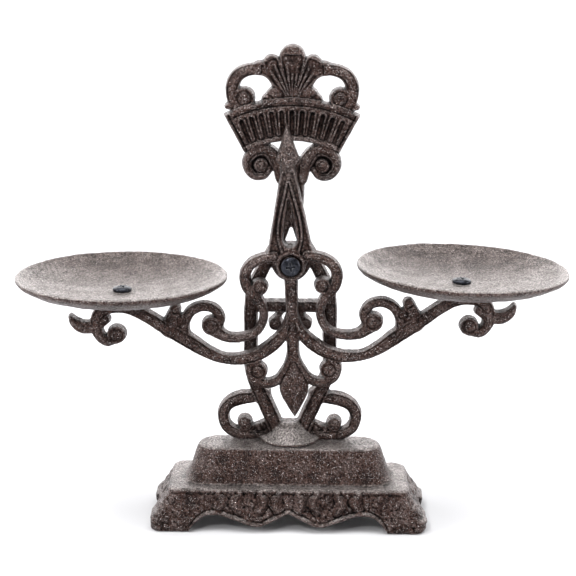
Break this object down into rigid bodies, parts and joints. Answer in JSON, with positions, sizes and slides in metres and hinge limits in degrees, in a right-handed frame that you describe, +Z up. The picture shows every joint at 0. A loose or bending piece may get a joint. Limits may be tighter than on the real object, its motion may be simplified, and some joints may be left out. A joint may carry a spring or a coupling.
{
  "type": "equal arm balance scale",
  "caption": "Cast-iron equal arm balance with a rocking scroll beam, a dished pan at each end, a pointer on a fluted fan dial and a two-tier footed base.",
  "frame": {"origin": "on the floor under the feet, below the pivot axis and in the pans' and beam's middle plane", "axes": "+X along the beam to the right pan, +Y to the back, +Z up"},
  "size_m": [0.3343, 0.128, 0.2946],
  "materials": {
    "iron": "dark brown-black oiled casting, fine sand texture, soft sheen",
    "pan_iron": "dark casting, smoother, with a brighter sheen on the dished face",
    "black_steel": "blackened screws, washers and nut"
  },
  "bodies": {
    "stand": {"base": "iron", "upright": "iron", "foot_bolt": "black_steel", "foot_washer": "black_steel", "pivot_screw": "black_steel", "pivot_spacer": "black_steel", "pivot_washer": "black_steel", "pivot_nut": "black_steel"},
    "balance_beam": {"beam": "iron", "pan_left": "pan_iron", "pan_screw_left": "black_steel", "pan_right": "pan_iron", "pan_screw_right": "black_steel"}
  },
  "joints": [
    {"name": "beam_tilt", "type": "hinge", "parent": "stand", "child": "balance_beam", "pos_m": [0, 0, 0.162], "axis": [0, 1, 0], "range_deg": [-18, 22]}
  ]
}
